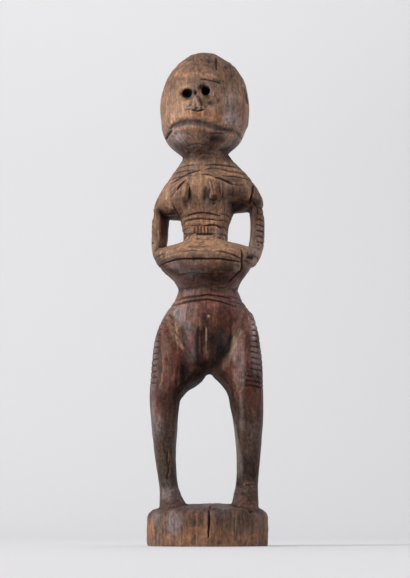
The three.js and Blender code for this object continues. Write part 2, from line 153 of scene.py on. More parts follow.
CUT_LINES = [
    # forehead
    (1.1, 1, [(216, 58), (216.5, 64), (216.8, 70)]),
    (0.8, 0.4, [(194, 55), (193.5, 58), (194, 62)]),
    (0.8, 0.5, [(229, 64), (231, 70), (232.5, 77)]),
    (1.3, 0.6, [(200, 78.5), (208, 80), (215, 81.5), (222, 83.5)], (1.6, "umber", 0.6)),
    # nose
    (0.8, 0.4, [(184, 110), (188, 109.4), (191, 108.6)]),
    (1.8, 1.1, [(191.5, 109.8), (198, 110.8), (204.5, 109.4)]),
    # mouth, chin and jaw
    # The plum along the mouth is the painted shade of its groove
    (6, 0.85, [(170.5, 128.6), (174, 124.5), (181, 121.4), (190, 120.4), (200, 121.8), (210, 123.6),
        (217, 126), (225, 128.6), (233, 130.6), (239, 134), (242, 139)], (6, "plum", 0.8)),
    (1, 0.9, [(210, 133.8), (216, 133.5), (224, 133.7)]),
    (1.4, 0.5, [(187, 146), (195, 144), (204, 144.6)]),
    (2.4, 1.3, [(172, 130), (168.5, 134.5), (166, 139.5)], (3.4, "soot", 0.7)),
    # ears
    (1.6, 1, [(243, 87), (245.8, 95), (247.4, 104)]),
    (1, 0.4, [(163.8, 91), (162.8, 97)]),
    (0.8, 0.4, [(162.3, 105), (162.6, 111)]),
    # right of the collar
    (1.1, 0.8, [(206, 165), (214, 164.3), (222, 164.8), (236, 167)], (2, "umber", 0.8)),
    (1, 0.6, [(206, 169), (213, 168), (219, 168.4)]),
    (1.2, 0.8, [(222, 169), (230, 171), (239, 172.6), (246, 174)]),
    (1.9, 1.2, [(215.6, 176.8), (222, 178.6), (228, 181.4), (233, 184)], (2.8, "soot", 0.85)),
    (1, 0.6, [(233, 184), (239, 185.2), (244, 184.6)]),
    # left of the collar
    (1.2, 0.8, [(170, 184), (178, 179.5), (184, 176), (190, 173), (196, 170.8), (200, 170.2)],
        (2.2, "umber", 0.8)),
    (1.1, 0.6, [(201, 174), (208, 174.4), (214, 176)]),
    (1.4, 0.9, [(185.5, 180.5), (181.4, 184.4), (176.5, 190)], (2.2, "umber", 0.8)),
    (1, 0.4, [(176.5, 190), (173, 194), (170, 198)]),
    # right shoulder
    (1.6, 1.2, [(253.6, 185), (252.6, 192), (250.5, 199), (249, 204)], (2.4, "soot", 0.8)),
    (1.4, 0.9, [(252, 201), (256, 206), (258.5, 213)]),
    # chest
    (1.5, 1, [(189.6, 187), (189.8, 195), (188, 200.6)]),
    (3.6, 0.5, [(206.4, 187), (205, 194), (204.6, 200)]),
    (1.4, 0.7, [(172, 203), (176, 211), (180, 218)]),
    (1, 0.5, [(224.6, 206), (225.2, 216), (224.8, 228)]),
    # navel bands
    (1.3, 1, [(184, 217.5), (190, 214.6), (197, 212.6), (203, 212.2), (210, 213.2), (220, 216)],
        (2.2, "soot", 0.7)),
    (1.1, 0.8, [(183, 221.4), (192, 219.4), (200, 218.2), (212, 219.4), (221, 221)], (2, "umber", 0.8)),
    (1, 0.6, [(184, 226.6), (192, 225.6), (200, 224.6), (206, 225.6)]),
    (1.6, 1.1, [(205, 225.4), (212, 224.8), (217, 225.6), (222, 229)], (2.4, "soot", 0.7)),
    (1.2, 0.8, [(183, 233), (186, 234.6), (192, 233.2), (196, 232.6)]),
    (1.4, 1, [(196, 234), (205, 233.6), (215, 233.4)], (2.2, "soot", 0.7)),
    # hands and forearms
    (1.3, 0.9, [(184, 252), (190, 250.6), (199, 250)]),
    (1.6, 1.2, [(216, 251), (224, 251.6), (231, 253.6), (236, 256), (240, 258.4)], (2.4, "soot", 0.7)),
    (1.6, 1.2, [(160, 266), (166, 262.8), (174, 260.4), (183, 259), (195, 258.8), (210, 258.4), (222, 259),
        (232, 260.6), (240, 262)], (2.2, "soot", 0.7)),
    (1.5, 0.5, [(178, 275.6), (184, 274.8), (191, 273.4), (195, 273)]),
    (1.2, 0.3, [(195, 273), (210, 273.6), (225, 273.6), (236, 273)]),
    (1.8, 1.6, [(241, 250), (242.6, 255), (242, 261), (242.8, 266), (241, 270.5)]),
    (1.3, 0.9, [(241.2, 270.4), (237.6, 273.2), (233, 278.4), (229, 281.6)]),
    (1.3, 0.9, [(245, 260), (249, 263), (252.6, 264.6)]),
    (1, 0.5, [(192, 274), (194.4, 278), (193.4, 282)]),
    # waist
    (1.3, 0.9, [(182, 298), (190, 296.4), (200, 295.6), (207, 294.6), (217, 295.4), (224, 296.6),
        (232, 299)], (2, "soot", 0.8)),
    (1.3, 1, [(172, 305.6), (180, 303), (190, 301), (200, 299.8), (208, 299.2), (218, 300.8), (228, 303.6),
        (237, 307)], (2, "soot", 0.8)),
    (0.9, 0.4, [(208, 289), (216, 290), (224, 292)]),
    # pelvis
    (3.6, 0.7, [(198.4, 327), (197.6, 338), (197.2, 350), (198.6, 362)]),
    (1, 0.8, [(204.6, 327.5), (204.4, 336)]),
    (2, 0.35, [(201.5, 330), (201.8, 345), (203, 356)]),
    # thighs
    (1, 0.4, [(174, 334), (176, 345), (176, 352)]),
    (0.9, 0.3, [(166, 352), (168, 362)]),
    (2.6, 0.4, [(178, 366), (177, 376), (176.8, 386)]),
    (1.2, 0.5, [(247, 371), (244, 378)]),
    # ankles
    (1.2, 0.9, [(168, 452), (167.4, 462), (169, 469), (167, 478)]),
    (0.9, 0.6, [(170.5, 460), (169, 467)]),
    (1.2, 0.6, [(239, 487), (246, 484.6), (255, 484)]),
    # base
    # The dark along the crack is dirt and painted shade
    (1.3, 2.4, [(209, 510), (209, 522), (208.6, 532), (208.6, 538)], (1.8, "soot", 0.95)),
    (1.1, 1.2, [(210, 505.5), (209.6, 509)]),
]

# Short cuts stacked down the knee, the right and left thigh and the right arm, in pixels: where each
# starts, bends and ends across, how fast it falls and its height. Then their width and depth.
TICKS = [
    *[(246, 254, 263.4, 1, y) for y in (376.4, 381, 385.6)],
    *[(250 + 0.1 * k, 256, 263.4, 1.1 - 0.06 * k, 385.2 - 5.53 * k) for k in range(3, 13)],
    *[(149, 153, 156.5 + 0.06 * k * k, -0.25, 383 - 5.95 * k) for k in range(11)],
    *[(256.4, 260, 264.6, 0.8, 207.6 + 5.8 * k) for k in range(7)],
]
TICK_SIZE_MM = (1.6, 0.9)

# Rounded ridges left standing between cuts: width and height in mm, then the way in pixels, and
# the paint along them as above, which on the middle ridge of the pelvis is a painted highlight
RIDGE_LINES = [
    (5, 0.55, [(180, 77), (190, 74.5), (200, 74), (210, 75.5), (220, 79)]),
    (4.6, 1.3, [(195.2, 97), (195, 102), (194, 107)]),
    (4.6, 1.3, [(195.6, 97), (197.4, 102), (200.4, 107)]),
    (1.6, 0.7, [(197, 104), (201, 106.6), (206, 107.2)]),
    (1.4, 0.6, [(194, 104.4), (190.6, 107.2), (187.4, 108)]),
    (1.3, 0.7, [(209, 131.4), (218, 131.2), (229, 132)]),
    (6, 0.8, [(175, 131), (184, 128.6), (194, 128), (204, 129), (214, 131)]),
    (1.6, 0.5, [(196, 172.4), (204, 172), (212, 173)]),
    (1.4, 0.4, [(208, 166.8), (218, 166.4), (228, 168)]),
    (1.8, 0.5, [(170, 192), (176, 186.4), (184, 180)]),
    (1.6, 0.8, [(210, 180), (211.6, 188), (213, 196)]),
    (1.4, 0.5, [(221.6, 183), (222, 190), (220.6, 198)]),
    (2.4, 0.6, [(186, 184), (185, 191), (183.6, 198)]),
    (1.6, 0.4, [(186, 219), (195, 216.2), (205, 215.8), (218, 218.2)]),
    (1.4, 0.4, [(186, 223.8), (200, 221.6), (214, 222.8)]),
    (3.2, 0.7, [(161, 261), (168, 257), (178, 254.6), (190, 253.6), (204, 252.6), (218, 253.2), (230, 256),
        (239, 260)]),
    (6, 0.5, [(166, 268), (180, 266), (200, 264.5), (220, 265), (236, 268)]),
    (1.5, 0.4, [(182, 300), (195, 298.2), (207, 297.2), (220, 298.8), (232, 302)]),
    (11, 0.6, [(169, 318), (172, 325), (178, 338), (184, 350), (189.5, 362), (193, 371)]),
    (9, 0.35, [(241, 319), (239, 324), (235.5, 336), (233, 348), (230, 358), (227, 367)]),
    # A painted highlight along the middle ridge of the pelvis
    (1.5, 1, [(206.4, 327.6), (206.6, 336), (206.6, 344)], (1.8, "tan", 0.95)),
    (2, 0.4, [(206.6, 344), (207, 354)]),
    (4.4, 0.3, [(240.6, 392), (241.4, 410), (241.6, 430), (240.6, 452)]),
    (1.6, 0.4, [(181, 507), (186, 508), (191, 508)]),
    (1.2, 0.35, [(164.6, 514), (164.4, 524), (164.8, 538)]),
    (1.2, 0.35, [(183.2, 511), (183, 524), (183.4, 539)]),
    (1.2, 0.35, [(236.4, 512), (236, 524), (236.4, 538)]),
    (1.2, 0.35, [(254.6, 514), (254.8, 525), (254.4, 536)]),
]

# Beads of the navel band, in pixels, with their width and height in mm
BEADS_ACROSS, BEADS_UP, BEAD_COUNT, BEAD_SIZE_MM = (193.4, 209.4), (226.4, 232.8), 6, (1.9, 0.9)

# Hollows (minus) and lumps (plus): place in pixels, half width, half height and depth in mm
LUMPS = [
    (186.4, 92.6, 4.6, 3.8, -1.6), (187.8, 95.6, 4.4, 3.2, -1.9), (205, 91.6, 4.2, 5, -1.8),
    (206, 94.8, 4.2, 3.8, -1.8), (202, 86.5, 3, 2.8, -1.2), (182.6, 93.6, 2, 1.8, -0.8),
    (195.4, 91.8, 1.5, 2.2, -1.2), (196.6, 108.6, 2.4, 1.1, -0.7), (213.8, 94, 0.9, 2.2, 0.7),
    (211, 103, 2.6, 2, -0.6), (219, 100, 2, 3, -0.5), (180, 136, 6.5, 5.5, 0.8),
    (197, 132, 6, 4.5, 0.4), (217, 140, 6.5, 3.2, -0.6), (199, 152, 5, 3.4, -1),
    (208, 62, 4, 1.6, -0.5), (233, 76, 2.6, 2.4, -0.5), (226, 68, 2.4, 2, -0.4),
    (216.4, 198.4, 1.4, 1, -0.9), (214, 203.6, 1.2, 1.2, -0.9), (186, 206, 2.2, 4.5, -0.4),
    (250, 257.8, 3.4, 1.3, -1.2), (256, 251.5, 3.6, 2.8, 0.8), (259.4, 245, 1.5, 1.6, -0.9),
    (152, 243, 1.6, 1.2, -0.8), (216, 281, 8, 3.6, -0.7), (209.4, 316, 1.2, 1.4, 0.7),
    (205, 318, 2.6, 4.2, -0.5), (211, 342, 11, 15, -1), (231, 338, 2.6, 14, -0.5),
    (184, 371, 3, 8, -1.2), (251, 511.5, 3.2, 1.4, -0.6), (254, 535, 2.4, 2, 0.4),
    (244, 493, 3.4, 2.2, -0.6), (168, 478, 1.6, 1.6, -0.7),
]

# Broad flats planed off: place in pixels and how deep the blade went, in mm
FLATS = [
    (233, 106, 0.8), (231, 120, 0.7), (236, 90, 0.5), (190, 72, 0.3), (172, 104, 0.4), (168, 120, 0.35),
    (178, 316, 0.6), (190, 312, 0.35), (222, 312, 0.4), (164, 345, 0.4), (240, 360, 0.5),
    (246, 350, 0.35), (200, 243, 0.3), (239, 410, 0.5), (249, 420, 0.6), (156, 415, 0.4),
    (168, 425, 0.25), (166, 495, 0.5), (238, 494, 0.6), (250, 492, 0.5), (203, 207, 0.5),
    (156, 226, 0.5), (256, 226, 0.45), (158, 526, 0.6), (178, 526, 0.5), (196, 528, 0.4),
    (221, 528, 0.5), (240, 526, 0.6), (257, 526, 0.6),
]

# Colours of the patina, and of the painted shade and painted highlights, as 0 to 255 sRGB
PALETTE = {
    "tan": (146, 111, 84),
    "brown": (106, 75, 54),
    "russet": (94, 56, 39),
    "ochre": (138, 90, 53),
    "umber": (56, 39, 30),
    "smoke": (66, 53, 46),
    "oxblood": (72, 39, 30),
    "plum": (76, 53, 48),
    # The grey of dust, and of some painted highlights
    "ash": (110, 98, 95),
    # The black of dirt, and of painted shade
    "soot": (20, 14, 11),
    "sand": (176, 132, 97),
    "mauve": (104, 64, 55),
    # The colour of the painted highlights and sheen
    "lilac": (136, 118, 113),
}

# How the colour changes with height on every side: height in mm and colour
COLOUR_BANDS = [
    (0, "brown"), (16, "brown"), (22, "plum"), (34, "smoke"), (66, "smoke"), (84, "oxblood"),
    (120, "oxblood"), (134, "mauve"), (146, "mauve"), (158, "umber"), (166, "brown"),
    (172, "tan"), (182, "brown"), (200, "brown"), (215, "tan"), (228, "umber"), (236, "plum"),
    (244, "tan"), (262, "tan"), (276, "brown"), (297, "brown"),
]

# How the bands drop to the front, in mm for each mm forwards
COLOUR_DROP = 0.12

# Patches of colour all over, each with the seed of its noise
PATCHES = ((22, "umber"), (23, "tan"), (24, "plum"), (25, "russet"), (26, "ash"))
PATCH_STRENGTH = 0.4

# Stains, worn places, painted shade and painted highlights on the front: pixel, half width and half height
# in pixels, colour, strength
STAINS_AND_PAINTED_LIGHT = [
    (191, 74, 14, 5, "sand", 0.5), (212, 75, 10, 4, "tan", 0.6), (208, 62, 13, 4, "umber", 0.4),
    (216, 64, 3, 6, "soot", 0.8), (233, 80, 8, 10, "brown", 0.5), (196, 61, 6, 5, "umber", 0.4),
    (181, 68, 9, 8, "tan", 0.35), (190, 62, 14, 6, "tan", 0.15), (222, 66, 10, 8, "brown", 0.6),
    (170, 106, 9, 18, "tan", 0.8), (170, 108, 9, 16, "brown", 0.25), (181, 86, 8, 7, "tan", 0.7),
    # (196, 104) is a painted highlight on the tip of the nose
    (205, 100, 10, 6, "umber", 0.5), (212, 103, 5, 4, "umber", 0.6), (196, 104, 2.4, 3, "tan", 0.9),
    # (199.6, 91) and (195.4, 92) are painted shade round the right eye and in the small pit
    (199.6, 91, 4.6, 7.5, "brown", 0.9), (195.4, 92, 2.4, 3, "umber", 0.9),
    # Painted shade in the two eye holes
    (187, 93.4, 5.8, 5.2, "soot", 1), (205.6, 92.4, 5.2, 6.4, "soot", 1),
    # (202.4, 86.6) is painted shade in the gouge over the right eye, (233, 104) painted sheen on the right
    # cheek
    (202.4, 86.6, 4, 4, "umber", 0.9), (203, 103, 6, 4, "brown", 0.5), (233, 104, 9, 20, "ash", 0.6),
    # (231, 119) and (229, 112) are painted highlights on the right cheek
    (231, 119, 8, 8, "lilac", 0.95), (229, 112, 3, 10, "lilac", 0.5), (199, 115, 17, 4, "ochre", 0.7),
    (204, 114, 12, 4, "russet", 0.4), (216, 118, 5, 4, "ochre", 0.7), (219, 112, 5, 6, "russet", 0.6),
    # (180, 137) and (176, 129) are painted highlights on the left of the jaw
    (242, 110, 4, 20, "russet", 0.6), (180, 137, 8, 6, "lilac", 0.95), (176, 129, 5, 4, "lilac", 0.7),
    # (218, 139) is painted shade under the lip
    (196, 131, 10, 5, "brown", 0.8), (196, 140, 12, 5, "brown", 0.8), (218, 139, 12, 5, "soot", 0.65),
    # (199, 152) is painted shade under the chin
    (236, 142, 6, 5, "umber", 0.7), (217, 133.8, 7, 1.2, "russet", 0.8), (199, 152, 9, 5, "russet", 0.7),
    (217, 155, 10, 7, "brown", 0.6), (190, 165, 16, 6, "tan", 0.5), (198, 184, 10, 15, "sand", 0.5),
    # (231, 192) is painted shade in the right armpit
    (168, 194, 9, 12, "tan", 0.7), (231, 192, 9, 9, "umber", 0.9), (232, 180, 12, 4, "umber", 0.7),
    # (188.8, 194) is a painted shadow beside the left breast
    (218, 189, 5, 8, "russet", 0.85), (188.8, 194, 2.2, 6, "soot", 0.75),
    # (205.4, 193) and (214, 199) are painted shadows beside and under the right breast, (238, 205) painted
    # shade in the right armpit
    (205.4, 193, 4, 6, "soot", 0.55), (214, 199, 3, 4, "soot", 0.6), (238, 205, 13, 9, "soot", 0.85),
    # Painted shade in the armpits and under the shoulders
    (243, 195, 8, 9, "umber", 0.6), (240, 212, 13, 5, "soot", 0.8), (166, 214, 13, 5, "soot", 0.8),
    (253, 190, 5, 6, "umber", 0.5), (256, 214, 5, 12, "umber", 0.4), (253, 203, 5, 6, "umber", 0.8),
    # (164, 228) is painted shade on the inner side of the left arm
    (203, 208, 16, 4, "brown", 0.6), (164, 228, 4, 18, "soot", 0.6), (201, 224, 18, 9, "sand", 0.35),
    (201, 229, 11, 5, "ochre", 0.7), (203, 240, 16, 4, "sand", 0.7), (222, 226, 4, 10, "brown", 0.5),
    (200, 243, 28, 6, "sand", 0.85), (184, 249, 14, 4, "sand", 0.5), (222, 249, 14, 4, "sand", 0.4),
    (196, 257.5, 9, 3, "soot", 0.6), (176, 260, 15, 5, "plum", 0.5), (207, 266, 26, 4, "russet", 0.6),
    # (216, 280) and (204, 275) are painted shade under the belly
    (216, 280, 17, 7, "soot", 0.85), (204, 275, 14, 5, "soot", 0.6), (188, 280, 10, 6, "plum", 0.7),
    (254, 252, 5, 5, "ash", 0.6), (250, 257, 6, 3, "soot", 0.8), (220, 290, 12, 3, "russet", 0.6),
    # (177, 313.5) is a painted highlight on the left facet of the pelvis
    (177, 313.5, 5, 7, "lilac", 0.9), (185, 324, 6, 8, "oxblood", 0.6), (186, 309, 4, 7, "mauve", 0.8),
    (193, 314, 12, 11, "mauve", 0.9), (188, 336, 9, 13, "oxblood", 0.75),
    (223, 316, 15, 13, "oxblood", 1), (205, 313, 9, 8, "oxblood", 0.6), (205, 319, 4, 5, "umber", 0.8),
    # (217, 341) is painted shade right of the middle ridge, (201, 347) painted shade in the slit
    (209, 316, 1.6, 1.8, "ochre", 0.8), (217, 341, 12, 22, "soot", 0.7), (201, 347, 4, 20, "soot", 0.5),
    # (219, 354) is painted shade on the right of the pelvis, (230, 342) painted shade in the right valley
    (219, 354, 12, 12, "soot", 0.95), (230, 342, 5, 16, "soot", 0.4), (166, 344, 9, 18, "oxblood", 0.8),
    (166, 380, 9, 16, "oxblood", 0.7), (173, 342, 5, 14, "russet", 0.8), (165, 360, 5, 16, "russet", 0.9),
    # (174, 327) is a painted highlight on the left ridge of the pelvis
    (164, 384, 6, 12, "russet", 0.6), (174, 327, 5, 8, "sand", 0.6), (188, 342, 6, 10, "mauve", 0.7),
    # Painted shade inside the left thigh and in the fork of the legs
    (184, 375, 6, 14, "soot", 0.9), (210, 362, 14, 9, "soot", 1), (208, 375, 16, 5, "soot", 0.9),
    # (239, 362) is a painted highlight down the right thigh
    (226, 363, 7, 8, "oxblood", 0.8), (232, 385, 5, 9, "oxblood", 0.7), (239, 362, 6, 26, "mauve", 0.9),
    # (239, 360) is a painted highlight down the right thigh
    (239, 360, 6, 26, "lilac", 0.45), (238, 392, 4, 14, "russet", 0.6),
    # (153.5, 410) is a painted highlight on the outer edge of the left shin
    (249, 350, 3.5, 20, "russet", 0.7), (153.5, 410, 2.6, 32, "ash", 0.45),
    (166, 402, 9, 8, "umber", 0.7), (166, 430, 10, 24, "umber", 0.3), (166, 424, 6, 14, "smoke", 0.6),
    # (169, 493) is a painted highlight on the front of the left foot
    (168, 466, 4, 12, "russet", 0.5), (169, 493, 9, 8, "lilac", 0.4), (250, 484, 6, 3, "brown", 0.7),
    (191, 508, 9, 3, "ash", 0.6), (250, 436, 9, 36, "umber", 0.35), (244, 432, 4, 12, "russet", 0.5),
    (238, 492, 5, 8, "plum", 0.8), (252, 498, 6, 7, "umber", 0.7), (150, 530, 5, 9, "ochre", 0.7),
    (157, 520, 7, 9, "ash", 0.5), (174, 524, 8, 14, "ash", 0.75), (196, 524, 12, 13, "russet", 0.6),
    (192, 532, 10, 6, "ochre", 0.6), (219, 526, 8, 12, "russet", 0.7), (219, 529, 6, 5, "ochre", 0.6),
    (245, 521, 9, 12, "umber", 0.7), (225, 522, 10, 14, "umber", 0.35), (254, 537, 11, 5, "ochre", 0.7),
    # (155.5, 355) is a painted highlight on the notches of the left thigh
    (200, 538, 44, 4, "ochre", 0.45), (190, 508, 30, 2.2, "plum", 0.8), (155.5, 355, 2.4, 30, "ash", 0.4),
    # (253.4, 332) is a painted highlight on the notches of the right thigh
    (253.4, 332, 3.4, 14, "lilac", 0.85), (257, 362, 4.4, 16, "plum", 0.5),
    # (255, 358) is a painted highlight on the notches of the right thigh
    (255, 358, 3, 16, "lilac", 0.5), (150.5, 226, 3, 18, "brown", 0.5), (157, 228, 3, 16, "tan", 0.7),
    # (214, 276) is painted shade under the belly
    (256, 232, 5, 16, "umber", 0.4), (250, 470, 8, 14, "soot", 0.4), (214, 276, 22, 4, "soot", 0.6),
    (184, 264, 14, 4, "plum", 0.4), (239.5, 338, 5, 10, "russet", 0.7), (166, 416, 9, 26, "umber", 0.35),
    (250, 410, 9, 14, "umber", 0.5), (166, 354, 9, 14, "oxblood", 0.6), (217, 100, 6, 7, "russet", 0.4),
    # (187, 326) is a painted highlight on the left facet of the pelvis, (229, 356) painted shade in the
    # right valley
    (207, 71, 8, 5, "tan", 0.5), (187, 326, 5, 8, "lilac", 0.3), (229, 356, 4, 7, "umber", 0.5),
    # (198.5, 90) is painted shade between the eyes
    (197, 314, 9, 10, "russet", 0.35), (185, 354, 5, 7, "umber", 0.4), (198.5, 90, 3.4, 7, "umber", 0.6),
    (207, 288, 30, 14, "russet", 0.3), (244, 310, 6, 10, "mauve", 0.5), (221, 267, 15, 5, "umber", 0.4),
    (185, 253, 15, 4, "brown", 0.5),
]

# Painted shade along grooves and painted highlights along ridges: width in pixels, colour, strength and
# way
SHADE_AND_HIGHLIGHT_LINES = [
    (6, "plum", 0.85, [(175, 127), (183, 124), (192, 122.8), (202, 124.2), (212, 126.6), (222, 129.5),
        (232, 132)]),
    (3, "soot", 0.8, [(191.5, 109.6), (198, 110.6), (204.5, 109.4)]),
    (3, "soot", 0.8, [(243.6, 87), (246, 95), (247.6, 104)]),
    (2.8, "soot", 0.9, [(241.2, 250), (242, 256), (241.8, 264), (241.4, 270), (236, 275), (229, 281.6)]),
    (4.6, "umber", 0.7, [(198.4, 327), (197.6, 338), (197.2, 350), (198.6, 364)]),
    (11, "tan", 0.65, [(168, 317), (171, 325), (177, 337), (182, 347)]),
    (9, "brown", 0.6, [(243, 310), (240, 322), (235.5, 336), (233, 348), (231, 354)]),
    (6, "ash", 0.3, [(240.6, 396), (241.4, 410), (241.6, 430)]),
]

# Painted shade on the inside of the legs and up in their fork: the heights between which it lies, and
# strength
FORK_MM, FORK_SHADE = (62, 100), 0.8

# Polish by height on every side: height in mm and how shiny, from 0 dry to 1 polished
POLISH_BANDS = [
    (0, 0.2), (30, 0.4), (60, 0.6), (90, 0.85), (130, 0.85), (150, 0.45), (185, 0.25), (225, 0.35),
    (240, 0.5), (265, 0.3), (297, 0.1),
]

# Hollows and ridges: the passes of smoothing that the form is held against, and the mm at which they
# begin to count and count in full
FINE_PASSES, BROAD_PASSES, CALM_PASSES = 5, 30, 4
CAVITY_MM, CREVICE_MM, WEAR_MM = (0.02, 0.3), (0.015, 0.12), (0.01, 0.12)

# Pale places shine more than dark ones
PALENESS, LEAST_SHINE, ADDED_SHINE = (0.012, 0.08), 0.08, 0.42

# Noises of the wood: change along the grain against across, scale, detail and roughness. Four of
# them lighten and darken the grain by these shares.
WOOD_NOISES = {
    "streaks": (0.05, 1500, 4, 0.55),
    "bands": (0.12, 420, 3, 0.55),
    "mottle": (0.75, 650, 4, 0.65),
    "cloud": (0.5, 140, 3, 0.55),
    "pores": (0.16, 2600, 2, 0.55),
}
GRAIN_SHADES = {"streaks": 0.26, "bands": 0.22, "mottle": 0.34, "cloud": 0.18}
NOISE_RANGE = (0.36, 0.64)
RUBBED_PALER = (1.75, 1.6, 1.5, 1)
DRY_ROUGHNESS, POLISHED_ROUGHNESS = 0.78, 0.34
BUMP_MM = 0.45

# Cuts and cracks on the other sides: how far round the view is in degrees, width and depth in mm,
# then the way in mm across and up
SIDE_CUTS = [
    (180, 0.8, 1, [(6, 268), (6.6, 276), (6.2, 285)]),
    (180, 0.7, 0.8, [(-9, 250), (-9.6, 258), (-9.2, 264)]),
    (180, 1.2, 0.9, [(0.5, 170), (0.2, 180), (0.6, 192), (0.2, 206)]),
    (180, 1.6, 1, [(0.4, 100), (0.8, 110), (0.4, 122)]),
    (180, 0.9, 1.4, [(9, 0), (9.4, 8), (9, 15)]),
    (90, 0.8, 0.9, [(-4, 2), (-4.2, 9), (-3.6, 14)]),
    (-90, 0.8, 0.9, [(6, 3), (6.4, 9), (6, 16)]),
]


def smoothstep(low, high, value):
    t = np.clip((value - low) / (high - low), 0, 1)
    return t * t * (3 - 2 * t)


# Noise from a fixed hash, the same on every run

def hashed(cells, seed):
    """A number from 0 to 1 for each whole-number cell."""
    x, y, z = (cells[..., k].astype(np.int64) for k in range(3))
    h = (x * 374761393 + y * 668265263 + z * 1103515245 + seed * 974634777) & 0xFFFFFFFF
    h = ((h ^ (h >> 13)) * 1274126177) & 0xFFFFFFFF
    h = ((h ^ (h >> 15)) * 2246822519) & 0xFFFFFFFF
    return ((h ^ (h >> 16)) & 0xFFFFFF) / 0xFFFFFF


def noise(points, size, seed):
    """Smooth noise from -1 to 1, with cells of the given size in mm along each axis."""
    place = points / np.asarray(size, float)
    cell = np.floor(place)
    share = place - cell
    share = share * share * (3 - 2 * share)
    total = np.zeros(len(points))
    for corner in product((0, 1), repeat=3):
        weight = np.prod(np.where(corner, share, 1 - share), axis=1)
        total += weight * hashed(cell + corner, seed)
    return 2 * total - 1


# Mesh helpers, with positions in mm

def positions(mesh):
    co = np.empty(len(mesh.vertices) * 3)
    mesh.vertices.foreach_get("co", co)
    return co.reshape(-1, 3) / MM


def set_positions(mesh, co):
    mesh.vertices.foreach_set("co", (co * MM).ravel())
    mesh.update()


def normals(mesh, co):
    """Moves the vertices to these places, and returns their normals there."""
    set_positions(mesh, co)
    n = np.empty(len(mesh.vertices) * 3)
    mesh.vertices.foreach_get("normal", n)
    return n.reshape(-1, 3)


def neighbour_mean(mesh):
    """A function that averages each vertex's values over its neighbours."""
    count = len(mesh.vertices)
    ends = np.empty(len(mesh.edges) * 2, np.int64)
    mesh.edges.foreach_get("vertices", ends)
    a, b = ends.reshape(-1, 2).T
    degree = np.maximum(np.bincount(a, minlength=count) + np.bincount(b, minlength=count), 1)

    def mean(values):
        columns = values.reshape(count, -1)
        sums = [np.bincount(a, c[b], count) + np.bincount(b, c[a], count) for c in columns.T]
        return (np.stack(sums, axis=1) / degree[:, None]).reshape(values.shape)

    return mean


def smoothed(values, mean, passes):
    for _ in range(passes):
        values = 0.5 * values + 0.5 * mean(values)
    return values


def placed(name, data):
    """A new object of the scene."""
    thing = bpy.data.objects.new(name, data)
    bpy.context.scene.collection.objects.link(thing)
    return thing


def with_modifiers_applied(piece):
    depsgraph = bpy.context.evaluated_depsgraph_get()
    mesh = bpy.data.meshes.new_from_object(piece.evaluated_get(depsgraph))
    piece.modifiers.clear()
    piece.data = mesh


def fine_copy(node, name):
    """The solid's mesh as fine even quads, in an object of its own."""
    mesh = node.data.copy()
    welded = bmesh.new()
    welded.from_mesh(mesh)
    bmesh.ops.remove_doubles(welded, verts=welded.verts, dist=1e-6)
    welded.to_mesh(mesh)
    welded.free()
    mesh.materials.clear()
    piece = placed(name, mesh)
    remesh = piece.modifiers.new("fine", "REMESH")
    remesh.mode = "VOXEL"
    remesh.voxel_size = VOXEL_MM * MM
    with_modifiers_applied(piece)
    return piece


# Places on the solid, found by looking at it

solid_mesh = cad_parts["figure"].data
solid_faces = [tuple(p.vertices) for p in solid_mesh.polygons]
SOLID = BVHTree.FromPolygons([v.co for v in solid_mesh.vertices], solid_faces)


class Photograph:
    """The camera's view, in pixels of the frame. A pixel is about 0.58 mm on the figure."""
    unit = 0.58

    def shown(self, co):
        """Where points fall in the frame, and their distance from the camera in mm."""
        away = co - np.array(CAMERA_AT) / MM
        depth = away @ np.array(FORWARD)
        x = FRAME_WIDTH / 2 + FOCAL_PIXELS * (away @ np.array(RIGHT)) / depth
        y = FRAME_HEIGHT / 2 - FOCAL_PIXELS * (away @ np.array(UP)) / depth
        return np.stack([x, y, depth], axis=1)

    def cast(self, x, y):
        ray = FORWARD + RIGHT * ((x - FRAME_WIDTH / 2) / FOCAL_PIXELS)
        ray -= UP * ((y - FRAME_HEIGHT / 2) / FOCAL_PIXELS)
        hit, _, _, _ = SOLID.ray_cast(CAMERA_AT, ray.normalized())
        return hit


class Side:
    """A level view in mm across and up: 0 degrees is from the front, 90 from the viewer's right."""
    unit = 1.0
    start_mm = 500

    def __init__(self, degrees):
        turn = math.radians(degrees)
        self.right = Vector((math.cos(turn), math.sin(turn), 0))
        self.forward = Vector((-math.sin(turn), math.cos(turn), 0))

    def shown(self, co):
        return np.stack([co @ np.array(self.right), co[:, 2], co @ np.array(self.forward)], axis=1)

    def cast(self, x, y):
        start = (self.right * x - self.forward * self.start_mm + Vector((0, 0, y))) * MM
        hit, _, _, _ = SOLID.ray_cast(start, self.forward)
        return hit


PHOTO = Photograph()
NOWHERE = np.empty(0, int), np.empty(0)


